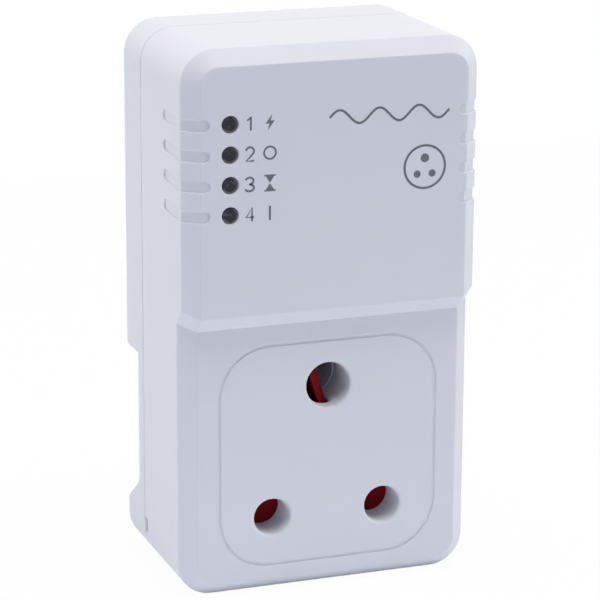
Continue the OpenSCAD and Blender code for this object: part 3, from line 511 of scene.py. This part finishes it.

# %% [markdown]
# ## The springs
# The CAD model holds both springs stiff, because its joints carry their force. Here each one is made again with
# more points, and the stiff solid is hidden. Both keep the places and sizes of the solids they replace.

# %% A piece from rings of points
def add_piece(name, shape, finish):
    """An object from a bmesh, with its finish."""
    mesh = bpy.data.meshes.new(name)
    bmesh.ops.recalc_face_normals(shape, faces=shape.faces)
    shape.to_mesh(mesh)
    shape.free()
    piece = bpy.data.objects.new(name, mesh)
    bpy.context.scene.collection.objects.link(piece)
    piece.data.materials.append(finish.material)
    return piece


def skin(rings, smooth):
    """A closed skin over rings that all have the same number of points."""
    shape = bmesh.new()
    rows = [[shape.verts.new(point) for point in ring] for ring in rings]
    for row, after in zip(rows, rows[1:]):
        for i in range(len(row)):
            j = (i + 1) % len(row)
            shape.faces.new((row[i], row[j], after[j], after[i])).smooth = smooth
    shape.faces.new(rows[0])
    shape.faces.new(rows[-1])
    return shape


print("helpers: add_piece, skin")

# %% The shutter's return spring
WIRE, COIL, COIL_TURNS, LEG = 0.35 * MM, 3.0 * MM, 3.25, 7.0 * MM
SOLID_SIDES, WIRE_SIDES, STEPS_A_TURN = 6, 12, 36
HINGES = {joint["name"]: Vector(joint["pos_m"]) for joint in frame["joints"]}


def coil_path(pivot, first_y, last_y):
    """A leg down, the turns round the post and a leg to the right."""
    steps = int(COIL_TURNS * STEPS_A_TURN)
    turns = []
    for k in range(steps + 1):
        a = math.pi - math.tau * k / STEPS_A_TURN
        turns.append(Vector((pivot.x + COIL * math.cos(a), first_y + (last_y - first_y) * k / steps,
                             pivot.z + COIL * math.sin(a))))
    return [turns[0] - Vector((0, 0, LEG))] + turns + [turns[-1] + Vector((LEG, 0, 0))]


def wire_rings(path, radius, sides):
    rings = []
    for i, at in enumerate(path):
        run = (path[min(i + 1, len(path) - 1)] - path[max(i - 1, 0)]).normalized()
        out = run.cross(Vector((0, 1, 0))).normalized()
        up = run.cross(out)
        rings.append([at + radius * (math.cos(a) * out + math.sin(a) * up)
                      for a in (math.tau * j / sides for j in range(sides))])
    return rings


def add_return_spring():
    low, high = (Vector(corner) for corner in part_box("shutter_spring"))
    inset = WIRE * math.sin(math.tau / SOLID_SIDES)
    path = coil_path(HINGES["shutter_hinge"], high.y - inset, low.y + inset)
    spring = add_piece("shutter_return_spring", skin(wire_rings(path, WIRE, WIRE_SIDES), True),
                       FINISHES["steel"])
    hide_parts("shutter_spring")
    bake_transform(spring)
    return spring


print("return spring:", len(add_return_spring().data.vertices), "points")

# %% The relay's leaf spring
LEAF, LEAF_BEND = 0.2 * MM, 0.5 * MM
LEAF_STEPS, BEND_STEPS = 16, 6


def leaf_path(low, high):
    """Middle line and outward direction in y and z: along the yoke, round a bend and down."""
    flat_z, down_y = high.z - LEAF / 2, high.y - LEAF / 2
    bend_y, bend_z = down_y - LEAF_BEND, flat_z - LEAF_BEND
    path = [((low.y + (bend_y - low.y) * k / LEAF_STEPS, flat_z), (0, 1))
            for k in range(LEAF_STEPS)]
    for k in range(BEND_STEPS + 1):
        a = math.pi / 2 * (1 - k / BEND_STEPS)
        out = (math.cos(a), math.sin(a))
        path.append(((bend_y + LEAF_BEND * out[0], bend_z + LEAF_BEND * out[1]), out))
    return path + [((down_y, low.z), (1, 0))]


def add_leaf_spring():
    low, high = (Vector(corner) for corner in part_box("relay_spring"))
    rings = []
    for (y, z), (out_y, out_z) in leaf_path(low, high):
        rings.append([(x, y + side * LEAF / 2 * out_y, z + side * LEAF / 2 * out_z)
                      for x, side in ((low.x, -1), (high.x, -1), (high.x, 1), (low.x, 1))])
    leaf = add_piece("relay_leaf_spring", skin(rings, False), FINISHES["brass"])
    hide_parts("relay_spring")
    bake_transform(leaf)
    return leaf


print("leaf spring:", len(add_leaf_spring().data.vertices), "points")

# %% [markdown]
# ## Printed marks
# The panel is pad printed in dark grey ink. The marks here are generic: a number and a sign
# beside each lamp, a sine wave for the mains, and a sign of a three-hole socket. Ink stands 30
# micrometres proud, so each mark is a thin closed solid that stands on the panel. Strokes are
# drawn as ribbons round a line, which keeps every mark an even weight.

# %% Ink and the shapes of strokes
panel_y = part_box("front_cover")[0][1]
INK_MM = 0.03


def ink(name):
    finish = Finish(name)
    speckle = finish.noise(9, detail=2)
    return finish.surface(
        Base_Color=finish.blend(rgb(0.130, 0.135, 0.155), rgb(0.175, 0.180, 0.200), speckle),
        Roughness=0.5 + 0.1 * speckle)


def ribbon(points, width, closed=False):
    """Quads on both sides of a line, in x and z."""
    count = len(points)
    rails = []
    for i, point in enumerate(points):
        before = points[i - 1] if closed or i else point
        after = points[(i + 1) % count] if closed or i < count - 1 else point
        run = (Vector(after) - Vector(before)).normalized()
        side = Vector((-run.y, run.x)) * width / 2
        rails.append((Vector(point) + side, Vector(point) - side))
    last = count if closed else count - 1
    return [(rails[i][0], rails[i][1], rails[(i + 1) % count][1], rails[(i + 1) % count][0])
            for i in range(last)]


def circle(centre, radius, count=32):
    return [(centre[0] + radius * math.cos(math.tau * i / count),
             centre[1] + radius * math.sin(math.tau * i / count)) for i in range(count)]


print("panel stands at y =", round(panel_y, 5))

# %% A mark from its faces
SAME_POINT_MM = 0.001
ink_finish = ink("print_grey")


def mark(name, faces):
    """A thin solid of ink on the panel from faces given in x and z, in millimetres."""
    shape = bmesh.new()
    for face in faces:
        corners = [shape.verts.new((p[0] * MM, panel_y, p[1] * MM)) for p in face]
        shape.faces.new(corners)
    bmesh.ops.remove_doubles(shape, verts=shape.verts, dist=SAME_POINT_MM * MM)
    bmesh.ops.recalc_face_normals(shape, faces=shape.faces)
    raised = bmesh.ops.extrude_face_region(shape, geom=list(shape.faces))
    moved = [item for item in raised["geom"] if isinstance(item, bmesh.types.BMVert)]
    bmesh.ops.translate(shape, vec=(0, -INK_MM * MM, 0), verts=moved)
    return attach(add_piece(name, shape, ink_finish), "case")


# %% [markdown]
# The digits are drawn from straight strokes and arcs, as stencil-like figures of one weight. A
# font would do, but drawn strokes keep the same weight as the signs and need no text object.

# %% Numbers beside the lamps
LAMPS_Z = [at.z / MM for at in LAMPS]
DIGIT_X, DIGIT_H, DIGIT_W, STROKE = -19.8, 2.9, 1.7, 0.42


def arc(cx, cz, rx, rz, start, end, count=14):
    steps = [math.radians(start + (end - start) * i / count) for i in range(count + 1)]
    return [(cx + rx * math.cos(a), cz + rz * math.sin(a)) for a in steps]


def digit_lines(digit):
    w, h = DIGIT_W, DIGIT_H
    if digit == 1:
        return [[(0.15 * w, 0.72 * h), (0.6 * w, h), (0.6 * w, 0)]]
    if digit == 2:
        return [arc(w / 2, h - w / 2, w / 2, w / 2, 170, -40) + [(0, 0), (w, 0)]]
    if digit == 3:
        r = h / 4
        return [arc(w * 0.42, h - r, w * 0.52, r, 160, -90)
                + arc(w * 0.42, r, w * 0.58, r, 90, -160)]
    return [[(0.75 * w, 0), (0.75 * w, h), (0, 0.3 * h), (w, 0.3 * h)]]


for number, lamp_z in enumerate(LAMPS_Z, start=1):
    foot = lamp_z - DIGIT_H / 2
    faces = [quad for line in digit_lines(number)
             for quad in ribbon([(DIGIT_X + x, foot + z) for x, z in line], STROKE)]
    mark(f"lamp_number_{number}", faces)
print("numbers:", len(LAMPS_Z))

# %% Signs beside the lamps
SIGN_X = -14.6
RING_R, RING_STROKE = 1.3, 0.4
BAR_HALF, BAR_STROKE = 1.5, 0.45
SAND_HALF, SAND_HIGH, WAIST = 0.95, 1.5, 0.04
RIM_HALF, RIM_HIGH, RIM_STROKE = 1.25, 1.62, 0.3


def bolt(x, z):
    outline = [(0.5, 1.7), (-1.0, -0.25), (-0.1, -0.25), (-0.5, -1.7), (1.0, 0.35), (0.1, 0.35)]
    points = [(x + px, z + pz) for px, pz in outline]
    return [[points[i] for i in face] for face in ((0, 1, 2, 5), (5, 2, 3, 4))]


def hourglass(x, z):
    """Two triangles of sand that almost meet, between two rims."""
    sand = [[(x - SAND_HALF, z + SAND_HIGH), (x, z + WAIST), (x + SAND_HALF, z + SAND_HIGH)],
            [(x - SAND_HALF, z - SAND_HIGH), (x + SAND_HALF, z - SAND_HIGH), (x, z - WAIST)]]
    rims = [quad for rim_z in (z - RIM_HIGH, z + RIM_HIGH)
            for quad in ribbon([(x - RIM_HALF, rim_z), (x + RIM_HALF, rim_z)], RIM_STROKE)]
    return sand + rims


mark("sign_surge", bolt(SIGN_X, LAMPS_Z[0]))
mark("sign_off", ribbon(circle((SIGN_X, LAMPS_Z[1]), RING_R), RING_STROKE, closed=True))
mark("sign_wait", hourglass(SIGN_X, LAMPS_Z[2]))
mark("sign_on", ribbon([(SIGN_X, LAMPS_Z[3] - BAR_HALF), (SIGN_X, LAMPS_Z[3] + BAR_HALF)],
                       BAR_STROKE))
print("signs beside the lamps: 4")

# %% Mains wave and socket sign
WAVE_X, WAVE_Z, WAVE_LONG, WAVE_HIGH = (-1.5, 25.4), 104.6, 8.9, 1.5
WAVE_STEPS = 72
SOCKET_SIGN, SOCKET_R, SIGN_STROKE = (20.0, 92.7), 4.6, 0.5
SOCKET_HOLES = {"earth": (0, 1.9, 0.95), "line": (1.7, -1.5, 0.8), "neutral": (-1.7, -1.5, 0.8)}


def wave():
    span = WAVE_X[1] - WAVE_X[0]
    return [(WAVE_X[0] + span * i / WAVE_STEPS,
             WAVE_Z + WAVE_HIGH * math.sin(math.tau * span * i / WAVE_STEPS / WAVE_LONG))
            for i in range(WAVE_STEPS + 1)]


mark("sign_mains", ribbon(wave(), SIGN_STROKE))
mark("sign_socket", ribbon(circle(SOCKET_SIGN, SOCKET_R, 48), SIGN_STROKE, closed=True))
for name, (dx, dz, radius) in SOCKET_HOLES.items():
    middle = (SOCKET_SIGN[0] + dx, SOCKET_SIGN[1] + dz)
    mark(f"sign_socket_{name}", [circle(middle, radius, 24)])
print("panel signs: mains wave and socket")

# %% [markdown]
# ## Floor, light and background
# The photograph is a product shot in a white tent: light comes from above and from both sides,
# and least from the camera's own side. Three large soft lamps and a weak even sky give that, and
# a fourth, low, weak and bluish lamp stands in for the cool light that a tent throws back on the
# front. The floor is no larger than its shadow needs, so that it throws little light up at the
# case, and lies a tenth of a millimetre low, clear of the flat bottom. Floor and background are
# white to the camera and to reflections, and the floor keeps a soft shadow. The side lamps are
# large: a small lamp of the same power would be a glaring patch on the case's top when it is seen
# at a shallow angle.

# %% Floor
FLOOR_HALF, FLOOR_Z = 0.38, -0.1 * MM
FLOOR_HIDDEN = 0.95


def white_to_view(finish, seen, lit, share):
    """Mixes what the camera and mirrors see with what the light sees."""
    path = finish.node("ShaderNodeLightPath").socket.node
    camera_ray, glossy_ray, through_ray = (
        Wire(finish, path.outputs[f"Is {kind} Ray"])
        for kind in ("Camera", "Glossy", "Transmission"))
    view = camera_ray.larger(glossy_ray).larger(through_ray)
    return finish.node("ShaderNodeMixShader", sockets={0: view * share, 1: lit, 2: seen})


def add_floor():
    mesh = bpy.data.meshes.new("floor")
    corners = [(x * FLOOR_HALF, y * FLOOR_HALF, FLOOR_Z)
               for x, y in ((-1, -1), (1, -1), (1, 1), (-1, 1))]
    mesh.from_pydata(corners, [], [(0, 1, 2, 3)])
    floor = bpy.data.objects.new("floor", mesh)
    bpy.context.scene.collection.objects.link(floor)
    finish = Finish("floor_white")
    lit = finish.node("ShaderNodeBsdfDiffuse", sockets={"Color": rgb(0.93, 0.95, 1.0)})
    seen = finish.node("ShaderNodeEmission", sockets={"Color": rgb(1, 1, 1), "Strength": 1.0})
    shown = white_to_view(finish, seen, lit, FLOOR_HIDDEN)
    finish.tree.links.new(shown.socket, finish.output.inputs["Surface"])
    floor.data.materials.append(finish.material)
    return floor


floor = add_floor()
print("floor:", [round(v, 2) for v in floor.dimensions])

# %% Sky
SKY, SKY_STRENGTH = rgb(0.84, 0.88, 1.0), 0.10


def add_sky(colour, strength):
    world = bpy.data.worlds.new("tent")
    bpy.context.scene.world = world
    world.use_nodes = True
    sky = Nodes(world.node_tree)
    output = sky.tree.nodes.new("ShaderNodeOutputWorld")
    lit = sky.node("ShaderNodeBackground", sockets={"Color": colour, "Strength": strength})
    seen = sky.node("ShaderNodeBackground", sockets={"Color": rgb(1, 1, 1), "Strength": 1.0})
    shown = white_to_view(sky, seen, lit, 1.0)
    sky.tree.links.new(shown.socket, output.inputs["Surface"])


add_sky(SKY, SKY_STRENGTH)

# %% Lamps
AIM = Vector((0, 0, 0.06))
BOXES = {
    "right_box": ((0.95, -0.20, 0.20), 1.3, 1.6, 10.4, (1.0, 1.0, 1.0)),
    "left_box": ((-0.85, 0.50, 0.20), 1.3, 1.6, 10.6, (0.97, 0.985, 1.0)),
    "top_box": ((0.0, -0.14, 1.0), 1.8, 1.4, 27.0, (1.0, 0.995, 0.985)),
    "front_box": ((-0.35, -1.0, 0.05), 1.3, 0.9, 2.35, (0.50, 0.63, 1.0)),
}


def add_lamp(name, toward, distance, size, watts, colour):
    """A square soft box that faces the object from a direction."""
    data = bpy.data.lights.new(name, "AREA")
    data.shape, data.size, data.energy, data.color = "SQUARE", size, watts, colour
    lamp = bpy.data.objects.new(name, data)
    bpy.context.scene.collection.objects.link(lamp)
    way = Vector(toward).normalized()
    turn = way.to_track_quat("Z", "Y").to_matrix().to_4x4()
    lamp.matrix_world = Matrix.Translation(AIM + way * distance) @ turn


for name, values in BOXES.items():
    add_lamp(name, *values)
print("lamps:", ", ".join(BOXES))

# %% [markdown]
# ## View settings
# The view settings stay plain, so that a colour renders as it is written.

# %% Finish
bpy.context.scene.view_settings.view_transform = "Standard"
